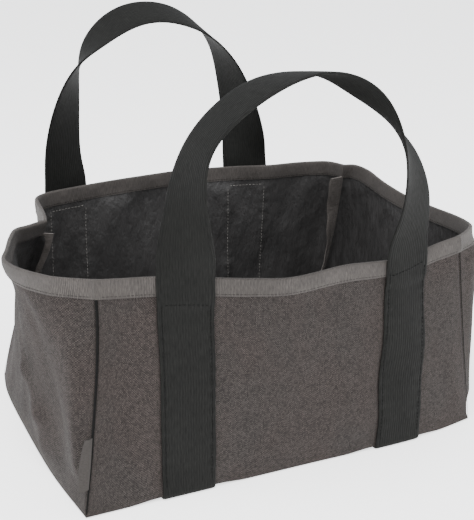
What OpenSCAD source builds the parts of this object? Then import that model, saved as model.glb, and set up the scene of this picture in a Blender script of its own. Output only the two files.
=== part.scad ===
// Open-topped garden tool bag: five cloth panels with taped seams, a taped rim,
// a stiff base board, webbing straps that pass under the base and two webbing handles.
// Origin at the middle of the base on the floor, +X along the length, -Y to the front, +Z up.

/* [Bag] */
// Length of the base, left end to right end
base_l = 402; // [360:1:440]
// Depth of the base, front to back
base_w = 312; // [280:1:340]
// Height of the walls up to the rim
wall_h = 198; // [170:1:230]
// Thickness of the coated cloth
cloth_t = 1.6; // [1.2:0.1:2]

/* [Base] */
// Thickness of the stiffener board inside the base
board_t = 3; // [2:0.5:4]
// Thickness of the cloth cover that lies on the board
cover_t = 1.2; // [0.8:0.1:2]
// Gap between the board's edge and the walls
board_gap = 9; // [7:0.5:14]

/* [Tape] */
// Width of the rim tape that shows on each side of the wall
tape_w = 15; // [10:0.5:20]
// Thickness of the rim tape
tape_t = 0.8; // [0.5:0.1:1]
// Width of the taped seam allowance inside the bag
seam_w = 11; // [8:0.5:14]
// Thickness of a taped seam, with the cloth edges inside it
seam_t = 2.4; // [2:0.1:3]

/* [Webbing] */
// Width of the webbing
web_w = 49; // [40:1:54]
// Thickness of the webbing
web_t = 2.2; // [1.8:0.1:2.5]
// Distance between the middles of the left and right straps
strap_pitch = 214; // [200:1:226]
// Height of the cross stitch above the floor
tack_z = 176; // [150:1:180]
// Distance between the two rows of stitches on a strap
row_gap = 42; // [34:1:44]

/* [Handles] */
// Height of the handles above their fold lines at the rim
handle_rise = 170; // [120:1:200]
// Outward lean of the front handle in degrees
front_lean = 3; // [0:0.5:12]
// Outward lean of the back handle in degrees
back_lean = 8; // [0:0.5:12]
// Height of the handle's lower end above the strap below it, where the webbing folds
fold_gap = 8; // [7:0.1:9]

/* [Label] */
// Length of the side label along the seam
label_h = 45; // [30:1:60]
// How far the side label stands out of the seam
label_w = 14; // [10:1:24]

/* [Hidden] */

FRONT = 0;
RIGHT = 1;
BACK = 2;
LEFT = 3;

cloth_colour = [0.39, 0.36, 0.34];
tape_colour = [0.49, 0.47, 0.44];
web_colour = [0.2, 0.2, 0.19];
thread_colour = [0.3, 0.3, 0.28];

gap = 0.4;
thread_t = 0.4;
thread_gap = 0.25;
climb = 8;
strap_steps = 20;
thread_w = 1.2;
floor_z = web_t + 0.1;
wall_z = floor_z + cloth_t;
step = 0.002;

// A corner of the relaxed bag, given at the nominal size of 402 x 312 x 198 mm
function spot(x, y, z) = [x * base_l / 402, y * base_w / 312, z * wall_h / 198];

// Rim of the slumped bag, one list a side, counter-clockwise from above
rim_front = [spot(-184, -136, 199), spot(-156, -148, 200), spot(-130, -157, 200), spot(-84, -165, 195),
    spot(-50, -172, 191), spot(-15, -176, 188), spot(37, -174, 190), spot(66, -171, 188),
    spot(95, -168, 186), spot(119, -164, 186), spot(145, -161, 191), spot(172, -158, 194)];
rim_right = [spot(172, -158, 194), spot(198, -141, 194), spot(214, -120, 191), spot(223, -85, 188),
    spot(228, -42, 185), spot(229, 3, 184), spot(228, 30, 187), spot(227, 55, 191), spot(225, 80, 197),
    spot(222, 98, 199), spot(214, 107, 198)];
rim_back = [spot(214, 107, 198), spot(204, 134, 197), spot(173, 143, 197), spot(135, 145, 197),
    spot(101, 156, 197), spot(66, 162, 197), spot(20, 166, 197), spot(-50, 157, 197),
    spot(-92, 150, 197), spot(-128, 140, 197), spot(-146, 126, 197), spot(-152, 102, 197),
    spot(-158, 62, 197), spot(-163, 45, 197)];
rim_left = [spot(-163, 45, 197), spot(-180, 37, 197), spot(-195, 30, 197), spot(-206, 8, 197),
    spot(-219, -24, 197), spot(-228, -52, 197), spot(-222, -83, 197), spot(-206, -113, 198),
    spot(-184, -136, 199)];
rims = [rim_front, rim_right, rim_back, rim_left];

// Foot of the walls, on the edge of the base
foot_front = [spot(-201, -165, 0), spot(0, -167, 0), spot(125, -169, 0), spot(200, -158, 0)];
foot_right = [spot(200, -158, 0), spot(205, -110, 0), spot(205, 0, 0), spot(201, 156, 0)];
foot_back = [spot(201, 156, 0), spot(0, 157, 0), spot(-140, 156, 0), spot(-188, 142, 0)];
foot_left = [spot(-188, 142, 0), spot(-197, 95, 0), spot(-202, 18, 0), spot(-205, -83, 0), spot(-201, -165, 0)];
feet = [foot_front, foot_right, foot_back, foot_left];

// Outward direction at the start and the end of each side, shared with its neighbour
mitres = [[[-1, -1, 0], [1, -1, 0]], [[1, -1, 0], [1, 1, 0]],
    [[1, 1, 0], [-1, 1, 0]], [[-1, 1, 0], [-1, -1, 0]]];

// Front handle: sideways place, share of the rise, turn of the webbing from flat against the bag
front_loop = [[-107, 0, 8], [-108, 0.05, 28], [-108, 0.12, 44], [-108, 0.25, 62], [-107, 0.455, 80],
    [-98, 0.64, 91], [-76, 0.785, 90], [-45, 0.9, 91], [-11, 0.95, 99], [22, 0.93, 103], [53, 0.825, 101],
    [81, 0.66, 77], [103, 0.46, 46], [112, 0.26, 27], [110, 0.13, 20],
    [107.6, 0.04, 12], [107, 0, 8]];
// Back handle, in the same terms
back_loop = [[-107, 0, 10], [-108, 0.07, 18], [-107, 0.22, 27], [-99, 0.44, 41], [-86, 0.65, 64],
    [-67, 0.81, 98], [-44, 0.92, 113], [-19, 0.985, 118], [8, 1, 118.5], [34, 0.97, 117], [60, 0.89, 109],
    [81, 0.76, 97], [95, 0.57, 77], [104, 0.35, 60], [108, 0.17, 44],
    [107.3, 0.05, 20], [107, 0, 15]];

function unit(v) = v / norm(v);

// Smooth curve through four points, from the second to the third
function catmull(a, b, c, d, t) =
    0.5 * (2 * b + (c - a) * t + (2 * a - 5 * b + 4 * c - d) * t * t + (3 * b - a - 3 * c + d) * t * t * t);

function run_length(pts, i) = i == 0 ? 0 : run_length(pts, i - 1) + norm(pts[i] - pts[i - 1]);

// Table from the share of a line's length to the number of its point
function knots(pts) =
    let (last = len(pts) - 1, whole = run_length(pts, last))
    [for (i = [0:last]) [run_length(pts, i) / whole, i]];

rim_knots = [for (side = rims) knots(side)];
foot_knots = [for (side = feet) knots(side)];

function on_curve(pts, table, s) =
    let (last = len(pts) - 1, k = lookup(s, table), i = min(floor(k), last - 1))
    catmull(pts[max(i - 1, 0)], pts[i], pts[i + 1], pts[min(i + 2, last)], k - i);

// Outer face of a wall: s runs along the side and t runs up it
function wall(side, s, t) =
    let (top = on_curve(rims[side], rim_knots[side], s), foot = on_curve(feet[side], foot_knots[side], s))
    [foot.x + (top.x - foot.x) * t, foot.y + (top.y - foot.y) * t, wall_z + (top.z - wall_z) * t];

function wall_out(side, s, t) =
    s < step ? mitres[side][0] : s > 1 - step ? mitres[side][1] :
    unit(cross(wall(side, s + step, t) - wall(side, s - step, t), wall(side, s, 1) - wall(side, s, 0)));

// Point at a distance off the wall's outer face, positive outwards: the foot stays level
function off_wall(side, s, t, d) =
    let (n = wall_out(side, s, t)) wall(side, s, t) + [n.x, n.y, t == 0 ? 0 : n.z] * d;

// Height share of the tape's lower edge
tape_low = 1 - tape_w / wall_h;

// Share along a side at which the wall crosses a given x
function share_at(side, x, t) =
    let (way = side == FRONT ? 1 : -1)
    lookup(x * way, [for (k = [1:99]) [wall(side, k / 100, t).x * way, k / 100]]);

// Triangles of a closed slab between two grids, the second on the outer side
function slab_faces(nu, nv) =
    let (k = nv + 1, b = (nu + 1) * k, e = nu * k)
    concat(
        [for (i = [0:nu - 1], j = [0:nv - 1]) let (p = i * k + j) each [[p, p + k, p + k + 1], [p, p + k + 1, p + 1]]],
        [for (i = [0:nu - 1], j = [0:nv - 1]) let (p = b + i * k + j) each [[p, p + k + 1, p + k], [p, p + 1, p + k + 1]]],
        [for (i = [0:nu - 1]) let (p = i * k) each [[p, b + p, b + p + k], [p, b + p + k, p + k]]],
        [for (i = [0:nu - 1]) let (p = i * k + nv) each [[p, b + p + k, b + p], [p, p + k, b + p + k]]],
        [for (j = [0:nv - 1]) each [[j, j + 1, b + j + 1], [j, b + j + 1, b + j]]],
        [for (j = [0:nv - 1]) let (p = e + j) each [[p, b + p + 1, p + 1], [p, b + p, b + p + 1]]]);

module slab(inner, outer) {
    nu = len(inner) - 1;
    nv = len(inner[0]) - 1;
    polyhedron([for (g = [inner, outer]) each [for (line = g) each line]], slab_faces(nu, nv));
}

// One cloth wall, with a line of points along the tape's lower edge
module wall_panel(side, nu, nv) {
    rows = [for (j = [0:nv]) tape_low * j / nv, 1];
    color(cloth_colour)
        slab([for (i = [0:nu]) [for (t = rows) off_wall(side, i / nu, t, -cloth_t)]],
            [for (i = [0:nu]) [for (t = rows) wall(side, i / nu, t)]]);
}

// Tape folded over the rim: rows run down the outside, over the top and down the inside
function tape_row(side, s, face) =
    let (off = gap + face, top = [0, 0, gap + face], shoulder = top * 0.2)
    [off_wall(side, s, tape_low, off), off_wall(side, s, 1, off) + shoulder,
        off_wall(side, s, 1, 0) + top, off_wall(side, s, 1, -cloth_t) + top,
        off_wall(side, s, 1, -cloth_t - off) + shoulder, off_wall(side, s, tape_low, -cloth_t - off)];

module rim_tape(side, nu) {
    color(tape_colour)
        slab([for (i = [0:nu]) tape_row(side, i / nu, 0)],
            [for (i = [0:nu]) tape_row(side, i / nu, tape_t)]);
}

// Line of stitches along the rim tape, one cell short of each corner
module rim_stitching(side, nu) {
    rows = [tape_low + 1 / wall_h, tape_low + 2 / wall_h];
    near = gap + tape_t + thread_gap;
    color(thread_colour)
        slab([for (i = [1:nu - 1]) [for (t = rows) off_wall(side, i / nu, t, near)]],
            [for (i = [1:nu - 1]) [for (t = rows) off_wall(side, i / nu, t, near + thread_t)]]);
}

// Taped seam allowance that stands inwards from a corner
module corner_seam(side, nv) {
    start = 0.08;
    finish = 1 - (tape_w + 3) / wall_h;
    in_way = -unit(mitres[side][0]);
    across = [-in_way.y, in_way.x, 0] * seam_t / 2;
    root = cloth_t * sqrt(2) + seam_t / 2 + gap;
    rows = [for (j = [0:nv]) wall(side, 0, start + (finish - start) * j / nv)];
    color(tape_colour)
        slab([for (p = rows) [p + in_way * root - across, p + in_way * (root + seam_w) - across]],
            [for (p = rows) [p + in_way * root + across, p + in_way * (root + seam_w) + across]]);
}

// How far the strap lies off the cloth: it climbs over the tape and its thread below the rim
function strap_lift(t) =
    gap + max(0, min(1, (t * wall_h - (wall_h - tape_w - 2 * climb)) / climb)) * (tape_t + 2 * thread_gap + thread_t);

// Height share that gives a height above the floor on a wall
function share_up(side, s, z) = (z - wall_z) / (wall(side, s, 1).z - wall_z);

function strap_point(side, x, t, d) = off_wall(side, share_at(side, x, t), t, strap_lift(t) + d);

// Height share of a strap's cross stitch
function tack_share(side, x) = share_up(side, share_at(side, x, 0.9), tack_z);

// Heights of a strap's points, with one at its cross stitch
function strap_rows(side, x) =
    let (top = tack_share(side, x))
    [for (j = [0:strap_steps - 1]) top * j / strap_steps, for (j = [0:3]) top + (1 - top) * j / 3];

// Webbing up one wall, centred on x
module wall_strap(side, x) {
    way = side == FRONT ? 1 : -1;
    places = [for (i = [-2:2]) x + way * web_w * i / 4];
    rows = strap_rows(side, x);
    color(web_colour)
        slab([for (p = places) [for (t = rows) strap_point(side, p, t, 0)]],
            [for (p = places) [for (t = rows) strap_point(side, p, t, web_t)]]);
}

// Webbing flat under the base
module base_strap(x) {
    reach = gap + web_t + 1;
    front = wall(FRONT, share_at(FRONT, x, 0), 0).y - reach;
    back = wall(BACK, share_at(BACK, x, 0), 0).y + reach;
    color(web_colour) translate([x - web_w / 2, front, 0]) cube([web_w, back - front, web_t]);
}

// Thread on a strap, at the given places and heights
module strap_thread(side, places, rows) {
    near = web_t + thread_gap;
    color(thread_colour)
        slab([for (p = places) [for (t = rows) strap_point(side, p, t, near)]],
            [for (p = places) [for (t = rows) strap_point(side, p, t, near + thread_t)]]);
}

// Two rows up a strap, and the cross stitch at their top
module strap_stitching(side, x) {
    way = side == FRONT ? 1 : -1;
    top = tack_share(side, x);
    for (row = [-1, 1]) {
        middle = x + row * row_gap / 2;
        strap_thread(side, [middle - way * thread_w / 2, middle + way * thread_w / 2],
            [for (j = [1:strap_steps]) top * j / strap_steps]);
    }
    reach = row_gap / 2 - thread_w;
    strap_thread(side, [for (i = [-3:3]) x + way * reach * i / 3], [top - thread_w / wall_h, top]);
}

// Edge of the base, drawn in by a distance
function base_outline(d) =
    [for (side = [FRONT:LEFT]) each [for (i = [0:7])
        let (p = wall(side, i / 8, 0), m = i == 0 ? mitres[side][0] : wall_out(side, i / 8, 0)) [p.x - m.x * d, p.y - m.y * d]]];

module base_sheet(inset, z, t) {
    translate([0, 0, z]) linear_extrude(t) polygon(base_outline(inset));
}

// Middle of a handle's lower end, just above the strap that it continues
function fold(side, x) = strap_point(side, x, 1, web_t / 2) + [0, 0, fold_gap];

// Place and turn of the handle at a share of its run: it stands on the line from a to b
function loop_spot(pts, s, side, lean, a, b) =
    let (last = len(pts) - 1, k = s * last, i = min(floor(k), last - 1), way = side == FRONT ? -1 : 1,
        q = catmull(pts[max(i - 1, 0)], pts[i], pts[i + 1], pts[min(i + 2, last)], k - i),
        x = q.x * strap_pitch / 214, low = a + (b - a) * (x - a.x) / (b.x - a.x))
    [x, low.y + way * q.y * handle_rise * sin(lean),
        low.z * (1 - q.y) + (a.z + b.z) / 2 * q.y + q.y * handle_rise * cos(lean), q.z];

// Webbing loop that stands on its fold line and turns edge-on over its top
module handle(pts, side, lean, n) {
    way = side == FRONT ? -1 : 1;
    ends = [fold(side, -strap_pitch / 2), fold(side, strap_pitch / 2)];
    spots = [for (i = [0:n]) loop_spot(pts, i / n, side, lean, ends[0], ends[1])];
    centres = [for (q = spots) [q.x, q.y, q.z]];
    face = [0, way * cos(lean), -sin(lean)];
    frames = [for (i = [0:n])
        let (along = i == 0 || i == n ? [0, 0, i == 0 ? 1 : -1] : unit(centres[i + 1] - centres[i - 1]),
            rim_way = unit(cross(face, along)) * -way, turn = spots[i][3],
            flat = unit(face - along * (face * along)), out = cos(turn) * flat + sin(turn) * rim_way)
        [out, cross(out, along)]];
    color(web_colour)
        slab([for (i = [0:n]) [for (j = [-1, 1]) centres[i] + frames[i][1] * j * web_w / 2 - frames[i][0] * web_t / 2]],
            [for (i = [0:n]) [for (j = [-1, 1]) centres[i] + frames[i][1] * j * web_w / 2 + frames[i][0] * web_t / 2]]);
}

module front_panel() { wall_panel(FRONT, 40, 6); }
module right_end_panel() { wall_panel(RIGHT, 28, 6); }
module back_panel() { wall_panel(BACK, 52, 6); }
module left_end_panel() { wall_panel(LEFT, 28, 6); }
module bottom_panel() { color(cloth_colour) base_sheet(0, floor_z, cloth_t); }
module base_board() { color("dimgray") base_sheet(board_gap, wall_z, board_t); }
module base_cover() { color([0.15, 0.15, 0.15]) base_sheet(board_gap - 0.5, wall_z + board_t, cover_t); }

// Tape that binds the seam all round the base, pressed flat between the walls and the board
module base_seam_tape() {
    color(tape_colour) difference() {
        base_sheet(cloth_t + 2, wall_z, seam_t);
        translate([0, 0, -1]) base_sheet(board_gap - 1, wall_z, seam_t + 2);
    }
}

module front_rim_tape() { rim_tape(FRONT, 40); }
module right_rim_tape() { rim_tape(RIGHT, 28); }
module back_rim_tape() { rim_tape(BACK, 52); }
module left_rim_tape() { rim_tape(LEFT, 28); }
module front_left_seam_tape() { corner_seam(FRONT, 8); }
module front_right_seam_tape() { corner_seam(RIGHT, 8); }
module back_right_seam_tape() { corner_seam(BACK, 8); }
module back_left_seam_tape() { corner_seam(LEFT, 8); }
module front_left_strap() { wall_strap(FRONT, -strap_pitch / 2); }
module front_right_strap() { wall_strap(FRONT, strap_pitch / 2); }
module back_left_strap() { wall_strap(BACK, -strap_pitch / 2); }
module back_right_strap() { wall_strap(BACK, strap_pitch / 2); }
module left_base_strap() { base_strap(-strap_pitch / 2); }
module right_base_strap() { base_strap(strap_pitch / 2); }
module front_left_strap_stitching() { strap_stitching(FRONT, -strap_pitch / 2); }
module front_right_strap_stitching() { strap_stitching(FRONT, strap_pitch / 2); }
module back_left_strap_stitching() { strap_stitching(BACK, -strap_pitch / 2); }
module back_right_strap_stitching() { strap_stitching(BACK, strap_pitch / 2); }
module front_rim_stitching() { rim_stitching(FRONT, 40); }
module right_rim_stitching() { rim_stitching(RIGHT, 28); }
module back_rim_stitching() { rim_stitching(BACK, 52); }
module left_rim_stitching() { rim_stitching(LEFT, 28); }

module front_handle() { handle(front_loop, FRONT, front_lean, 52); }
module back_handle() { handle(back_loop, BACK, back_lean, 52); }

// Folded tab sewn into the front left seam, leaning over the left end
module side_label() {
    low_t = 0.11;
    foot = wall(FRONT, 0, low_t);
    head = wall(FRONT, 0, low_t + label_h / wall_h);
    up = head - foot;
    out = unit([-0.97, -0.24, 0]);
    thick = unit([0.24, -0.97, 0]) * 0.6;
    root = foot + unit([-1, -1, 0]) * 1.2;
    rows = [[0, 0.6], [0.4, 1], [1, 0.5]];
    color(tape_colour)
        slab([for (i = [0, 1]) [for (r = rows) root + out * label_w * i * r[1] + up * r[0] + thick]],
            [for (i = [0, 1]) [for (r = rows) root + out * label_w * i * r[1] + up * r[0] - thick]]);
}

front_panel();
right_end_panel();
back_panel();
left_end_panel();
bottom_panel();
base_board();
base_cover();
base_seam_tape();
front_rim_tape();
right_rim_tape();
back_rim_tape();
left_rim_tape();
front_left_seam_tape();
front_right_seam_tape();
back_right_seam_tape();
back_left_seam_tape();
front_left_strap();
front_right_strap();
back_left_strap();
back_right_strap();
left_base_strap();
right_base_strap();
front_left_strap_stitching();
front_right_strap_stitching();
back_left_strap_stitching();
back_right_strap_stitching();
front_rim_stitching();
right_rim_stitching();
back_rim_stitching();
left_rim_stitching();
front_handle();
back_handle();
side_label();
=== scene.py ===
import math

import bmesh
import bpy
import numpy as np
from mathutils import Euler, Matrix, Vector


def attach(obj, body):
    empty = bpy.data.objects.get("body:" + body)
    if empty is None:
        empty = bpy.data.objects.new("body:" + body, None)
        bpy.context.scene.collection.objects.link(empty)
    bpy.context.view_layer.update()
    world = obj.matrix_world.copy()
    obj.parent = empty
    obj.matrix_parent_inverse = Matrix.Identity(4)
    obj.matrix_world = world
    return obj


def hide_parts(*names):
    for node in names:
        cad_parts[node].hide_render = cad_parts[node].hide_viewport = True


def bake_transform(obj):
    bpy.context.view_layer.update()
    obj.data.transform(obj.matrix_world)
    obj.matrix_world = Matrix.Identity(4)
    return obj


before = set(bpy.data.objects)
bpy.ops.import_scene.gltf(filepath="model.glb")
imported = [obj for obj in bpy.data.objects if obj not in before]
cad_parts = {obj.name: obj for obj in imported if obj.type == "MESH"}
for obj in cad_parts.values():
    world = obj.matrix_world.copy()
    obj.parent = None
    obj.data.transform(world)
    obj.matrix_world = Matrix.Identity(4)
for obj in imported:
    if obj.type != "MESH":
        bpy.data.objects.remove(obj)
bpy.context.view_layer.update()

MM = 0.001
FRONT, RIGHT, BACK, LEFT = range(4)
SIDES = ("front", "right", "back", "left")
CORNERS = ("front_left", "front_right", "back_right", "back_left")  # where each side begins

# The bag's own sizes, in millimetres, as in the CAD source
WALL_H = 198.0
CLOTH_T = 1.6
TAPE_W, TAPE_T = 15.0, 0.8
GAP = 0.4  # between the rim tape and the cloth, both faces together
WEB_W, WEB_T = 49.0, 2.2
PITCH = 214.0  # between the two straps of a wall
STRAPS = ((-PITCH / 2, "left"), (PITCH / 2, "right"))
ROW_GAP = 42.0  # between the two rows of stitches on a strap
TACK_Z = 176.0  # height of the cross stitch on a strap
RISE = 170.0  # of a handle above its fold
FOLD_GAP = 8.0  # from the rim up to a handle's fold
FOLD_OUT = 2.1  # from the wall out to a handle's inner face at its fold
FRONT_LEAN, BACK_LEAN = 3.0, 8.0  # of the handles, outwards, in degrees
SEAM_W, SEAM_T = 11.0, 2.4
LABEL_W, LABEL_H = 11.0, 44.0
FLOOR_Z = WEB_T + 0.1
WALL_Z = FLOOR_Z + CLOTH_T
TAPE_LOW = 1 - TAPE_W / WALL_H
SAG = 1.9  # how far the base cloth sags to the floor between the straps

# Rim and foot of each wall, from its first corner to its second, and the way out at both corners
RIM = [np.array(p, float) for p in (
    [(-184, -136, 199), (-156, -148, 200), (-130, -157, 200), (-84, -165, 195), (-50, -172, 191),
     (-15, -176, 188), (37, -174, 190), (66, -171, 188), (95, -168, 186), (119, -164, 186),
     (145, -161, 191), (172, -158, 194)],
    [(172, -158, 194), (198, -141, 194), (214, -120, 191), (223, -85, 188), (228, -42, 185),
     (229, 3, 184), (228, 30, 187), (227, 55, 191), (225, 80, 197), (222, 98, 199), (214, 107, 198)],
    [(214, 107, 198), (204, 134, 197), (173, 143, 197), (135, 145, 197), (101, 156, 197),
     (66, 162, 197), (20, 166, 197), (-50, 157, 197), (-92, 150, 197), (-128, 140, 197),
     (-146, 126, 197), (-152, 102, 197), (-158, 62, 197), (-163, 45, 197)],
    [(-163, 45, 197), (-180, 37, 197), (-195, 30, 197), (-206, 8, 197), (-219, -24, 197),
     (-228, -52, 197), (-222, -83, 197), (-206, -113, 198), (-184, -136, 199)])]
FOOT = [np.array(p, float) for p in (
    [(-201, -165, 0), (0, -167, 0), (125, -169, 0), (200, -158, 0)],
    [(200, -158, 0), (205, -110, 0), (205, 0, 0), (201, 156, 0)],
    [(201, 156, 0), (0, 157, 0), (-140, 156, 0), (-188, 142, 0)],
    [(-188, 142, 0), (-197, 95, 0), (-202, 18, 0), (-205, -83, 0), (-201, -165, 0)])]
MITRE = [np.array(m, float) for m in (
    [(-1, -1, 0), (1, -1, 0)], [(1, -1, 0), (1, 1, 0)],
    [(1, 1, 0), (-1, 1, 0)], [(-1, 1, 0), (-1, -1, 0)])]
# Sideways place, share of the rise and turn of each handle
FRONT_LOOP = np.array([
    (-107, 0, 8), (-108, .05, 28), (-108, .12, 44), (-108, .25, 62), (-107, .455, 80), (-98, .64, 91),
    (-76, .785, 90), (-45, .9, 91), (-11, .95, 99), (22, .93, 103), (53, .825, 101), (81, .66, 77),
    (103, .46, 46), (112, .26, 27), (110, .13, 20), (107.6, .04, 12), (107, 0, 8)])
BACK_LOOP = np.array([
    (-107, 0, 10), (-108, .07, 18), (-107, .22, 27), (-99, .44, 41), (-86, .65, 64), (-67, .81, 98),
    (-44, .92, 113), (-19, .985, 118), (8, 1, 118.5), (34, .97, 117), (60, .89, 109), (81, .76, 97),
    (95, .57, 77), (104, .35, 60), (108, .17, 44), (107.3, .05, 20), (107, 0, 15)])
# How far each upright corner seam bows off its straight line at half height, and at the rim
BOW = np.array([(6, -2, 0), (-1, 0, 0), (7, 3, 0), (-3, 0, 0)], float)
BOW_RIM = np.array([(7, -3, 0), (0, 0, 0), (-3, 0, 0), (0, 0, 0)], float)
BOW_REACH = 42.0  # length of wall over which a bow dies out


def unit(v):
    """Vectors scaled to length 1."""
    return v / np.maximum(np.linalg.norm(v, axis=-1, keepdims=True), 1e-9)


def smooth(x, low, high):
    """From 0 at low to 1 at high, with soft ends."""
    t = np.clip((x - low) / (high - low), 0, 1)
    return t * t * (3 - 2 * t)


def catmull(points, k):
    """A smooth curve through the points, at the places k counted in points."""
    last = len(points) - 1
    i = np.minimum(np.floor(k).astype(int), last - 1)
    t = (k - i)[..., None]
    a, b = points[np.maximum(i - 1, 0)], points[i]
    c, d = points[i + 1], points[np.minimum(i + 2, last)]
    square, cube = 2 * a - 5 * b + 4 * c - d, 3 * b - a - 3 * c + d
    return 0.5 * (2 * b + (c - a) * t + square * t * t + cube * t ** 3)


def run_of(points):
    """Length along a line of points, from its start to each point."""
    return np.concatenate([[0], np.cumsum(np.linalg.norm(np.diff(points, axis=0), axis=1))])


def on_curve(points, s):
    """Place on the curve at a share of its length."""
    run = run_of(points)
    return catmull(points, np.interp(s, run / run[-1], np.arange(len(points))))


SIDE_L = [0.5 * (run_of(RIM[i])[-1] + run_of(FOOT[i])[-1]) for i in range(4)]


def sag_at(x):
    """How far the foot of a wall sinks between the straps."""
    return SAG * smooth(np.abs(np.abs(x) - PITCH / 2), WEB_W / 2 + 3, WEB_W / 2 + 34)


def bow_at(corner, far, t):
    """The bow of a corner seam, which dies out along the wall."""
    share = 1 - smooth(far, 0, BOW_REACH)
    return (BOW[corner] * (np.sin(math.pi * t) * share)[..., None]
            + BOW_RIM[corner] * (smooth(t, 0.3, 1) * share)[..., None])


def plain(side, s, t):
    """Outer face of a wall as in the CAD source, with bowed corners and the foot sunk between the straps."""
    top, foot = on_curve(RIM[side], s), on_curve(FOOT[side], s)
    p = foot + (top - foot) * t[..., None]
    low = WALL_Z - sag_at(foot[..., 0])
    p[..., 2] = low + (top[..., 2] - low) * t
    length = SIDE_L[side]
    return p + bow_at(side, s * length, t) + bow_at((side + 1) % 4, (1 - s) * length, t)


def ridge(a, z, a0, z0, a1, z1, width, height):
    """A soft fold along a line on a wall, in millimetres."""
    dx, dz = a1 - a0, z1 - z0
    k = np.clip(((a - a0) * dx + (z - z0) * dz) / (dx * dx + dz * dz), 0, 1)
    far = (a - a0 - k * dx) ** 2 + (z - z0 - k * dz) ** 2
    return height * np.exp(-far / (2 * width * width))


# Folds of each wall: start, end, width and height
FOLDS = [
    [(18, 165, 60, 60, 16, 1.3), (40, 95, 75, 20, 22, -1.2), (150, 150, 190, 40, 26, 1.4),
     (205, 165, 265, 90, 20, -1.2), (250, 60, 285, 150, 16, 1.2), (355, 150, 380, 40, 14, 1.0),
     (225, 20, 290, 45, 20, 0.9), (170, 178, 240, 172, 9, -0.8)],
    [(38, 165, 30, 25, 26, 9.0), (95, 150, 90, 40, 24, 3.5), (150, 150, 165, 40, 26, -2.4),
     (210, 170, 190, 80, 18, -2.0), (255, 150, 265, 60, 14, 1.6)],
    [(60, 170, 100, 60, 20, 1.8), (150, 165, 170, 60, 22, -2.0), (215, 175, 235, 70, 16, 1.8),
     (270, 160, 300, 70, 20, -1.8), (335, 160, 325, 60, 18, 1.6), (395, 165, 400, 60, 12, -1.6),
     (430, 150, 440, 40, 14, 2.0)],
    [(108, 138, 96, 72, 40, -9.5), (138, 128, 160, 92, 7, 3.0), (160, 92, 180, 56, 7, 4.0),
     (180, 56, 184, 10, 9, 3.2), (206, 150, 214, 40, 13, -3.2), (243, 165, 246, 40, 9, 5.0),
     (196, 182, 216, 150, 8, 2.0), (150, 186, 172, 168, 8, -1.6)],
]
# Long soft waves of each wall: length, phase and height
WAVES = [
    [(118, 0.4, 0.9), (63, 2.0, 0.45), (31, 1.1, 0.16)],
    [(96, 1.2, 1.3), (54, 0.3, 0.6), (27, 2.2, 0.2)],
    [(104, 2.6, 1.3), (57, 1.0, 0.7), (29, 0.5, 0.25)],
    [(90, 0.9, 1.0), (47, 2.7, 0.5), (26, 0.2, 0.18)],
]
# How deep the cloth of each wall rolls into its corner seams, and how far it swells between them
ROLLS = (2.2, 2.2, 2.2, 6.0)
SWELLS = (1.2, 1.2, 1.2, 0.0)


def pull_at(p, z):
    """How far the rows of stitches on the straps pull the cloth in."""
    pull = 0
    for x, _ in STRAPS:
        for row in (-1, 1):
            far = p[..., 0] - x - row * ROW_GAP / 2
            line = smooth(TACK_Z + 4 - p[..., 2], 0, 6) * np.exp(-((far / 4.5) ** 2))
            pull = pull + line * (0.7 + 0.35 * np.sin(2 * math.pi * z / 13 + x))
    return pull


def relief(side, s, t):
    """How far the cloth stands off its plain wall, in millimetres, outwards."""
    length = SIDE_L[side]
    a, z = s * length, t * WALL_H
    down, edge = WALL_H - z, np.minimum(s, 1 - s) * length
    folds = sum(ridge(a, z, *fold) for fold in FOLDS[side])
    for wave, phase, height in WAVES[side]:
        along = a + 0.35 * z * math.cos(phase)
        folds = folds + height * np.sin(2 * math.pi * along / wave + phase + z / 70)
    if side in (FRONT, BACK):
        folds = folds - pull_at(plain(side, s, t), z)
    inside = smooth(z, 0, 28) * smooth(down, 2, 30) * smooth(edge, 0, 22)
    # The rim waves a little between the corners
    rim = 0.5 * np.sin(2 * math.pi * a / 88 + side) * smooth(z, 150, 198) * smooth(edge, 4, 40)
    below_tape = smooth(z, 0, 6) * smooth(down, TAPE_W - 3, TAPE_W + 3)
    roll = ROLLS[side] * np.exp(-((edge / 2.8) ** 2)) * below_tape
    swell = SWELLS[side] * np.sin(math.pi * np.clip(t, 0, 1)) * smooth(edge, 0, 26)
    return folds * inside + rim - roll + swell


def normal_of(side, s, t):
    """Outward normal of the plain wall."""
    step = 0.0015
    ds = plain(side, np.clip(s + step, 0, 1), t) - plain(side, np.clip(s - step, 0, 1), t)
    dt = plain(side, s, t * 0 + 1) - plain(side, s, t * 0)
    return unit(np.cross(ds, dt))


def surf(side, s, t):
    """Outer face of the cloth, with its relief."""
    n = normal_of(side, s, t)
    return plain(side, s, t) + n * relief(side, s, t)[..., None]


CORNER = 7.0  # length over which an offset face turns into the mitre at a corner


def mitred(side, s, n, reach):
    """Normals turned into the mitre near both corners of a side."""
    for end in (0, 1):
        near = np.clip(1 - np.abs(s - end) * SIDE_L[side] / reach, 0, 1)[..., None]
        n = n + (MITRE[side][end] - n) * near
    return n


def off_dir(side, s, t):
    """Direction in which a layer is offset: the face's normal, and the mitre at a corner."""
    step = 0.003
    ds = surf(side, np.clip(s + step, 0, 1), t) - surf(side, np.clip(s - step, 0, 1), t)
    dt = surf(side, s, np.clip(t + step, 0, 1)) - surf(side, s, np.clip(t - step, 0, 1))
    return mitred(side, s, unit(np.cross(ds, dt)), CORNER)


def share_at(side, x, t):
    """Share along the front or back at which the wall crosses x."""
    step = 1e-3
    s = 0.5 + (1 if side == FRONT else -1) * x / 400
    for _ in range(7):
        ahead, behind = plain(side, np.clip(s + step, 0, 1), t), plain(side, np.clip(s - step, 0, 1), t)
        slope = (ahead[..., 0] - behind[..., 0]) / (2 * step)
        s = np.clip(s - (plain(side, s, t)[..., 0] - x) / slope, 0.01, 0.99)
    return s


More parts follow.
